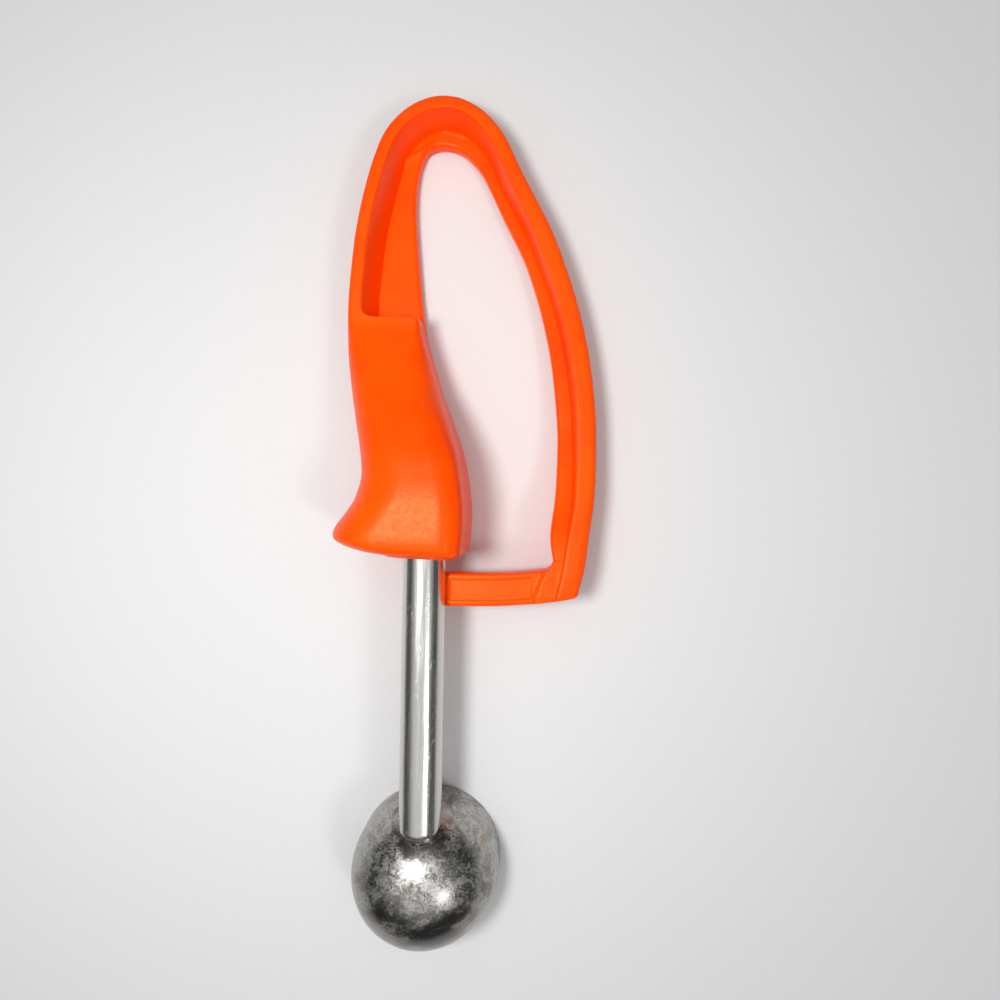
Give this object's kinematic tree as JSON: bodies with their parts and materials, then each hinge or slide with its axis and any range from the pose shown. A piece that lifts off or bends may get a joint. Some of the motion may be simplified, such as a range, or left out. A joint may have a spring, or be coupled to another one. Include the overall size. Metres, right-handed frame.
{
  "type": "cookie scoop",
  "caption": "Squeeze-handle portion scoop: open plastic loop grip on a steel stem, round steel bowl with a wiper blade turned by a rack on the lever arm.",
  "frame": {"origin": "on the grip's flat back, straight under the stem's axis", "axes": "+Y along the stem towards the loop, +Z out of the grip's back towards its front, +X towards the lever"},
  "size_m": [0.0591, 0.2005, 0.0285],
  "materials": {
    "orange_plastic": "semi-gloss moulded plastic",
    "stem_steel": "polished stainless tube with fine scratches",
    "bowl_steel": "polished stainless steel, scuffed and mottled",
    "shaft_steel": "plain stainless steel",
    "bush_brass": "turned brass"
  },
  "bodies": {
    "scoop": {"handle_grip": "orange_plastic", "stem_tube": "stem_steel", "upper_bush": "bush_brass", "lower_bush": "bush_brass", "bowl": "bowl_steel", "pivot_rivet": "bowl_steel"},
    "lever": {"squeeze_lever": "orange_plastic"},
    "shaft": {"drive_shaft": "shaft_steel", "wiper_blade": "shaft_steel"}
  },
  "joints": [
    {"name": "lever_squeeze", "type": "hinge", "parent": "scoop", "child": "lever", "pos_m": [0.00585, 0.08965, 0.006], "axis": [0, 0, -1], "range_deg": [0, 2.17], "stiffness_Nm_per_rad": 20},
    {"name": "shaft_turn", "type": "hinge", "parent": "scoop", "child": "shaft", "pos_m": [0, -0.0209, 0.0165], "axis": [0, 1, 0], "range_deg": [0, 150]}
  ],
  "couplings": [
    {"joint": "shaft_turn", "follows": "lever_squeeze", "ratio": 69.08}
  ]
}
